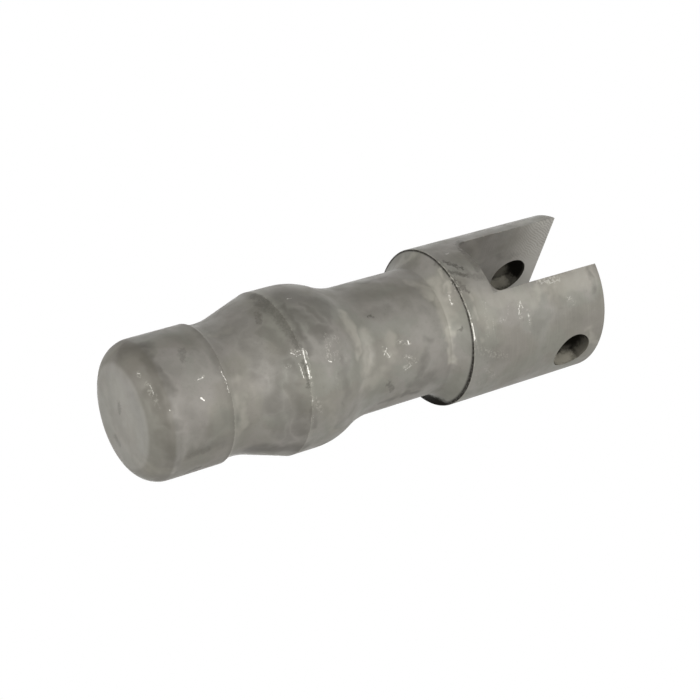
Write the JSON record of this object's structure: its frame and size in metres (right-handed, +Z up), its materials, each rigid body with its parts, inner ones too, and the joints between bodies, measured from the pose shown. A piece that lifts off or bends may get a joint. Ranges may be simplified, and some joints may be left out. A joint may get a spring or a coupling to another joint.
{
  "type": "hitch pin",
  "caption": "One-piece steel drawbar pin with a rounded nose, a crowned bulge, a slim shank, a flared shoulder and a forked head with a slot and a cross hole.",
  "frame": {"origin": "centre of the flat nose face, which the pin stands on", "axes": "+Z up the pin's axis from the nose to the fork, X along the cross hole through both ears, Y along the open slot"},
  "size_m": [0.0382, 0.0382, 0.1199],
  "materials": {
    "steel": "dull grey forged and turned steel with small bright nicks"
  },
  "bodies": {
    "root": {"hitch_pin": "steel"}
  },
  "joints": []
}
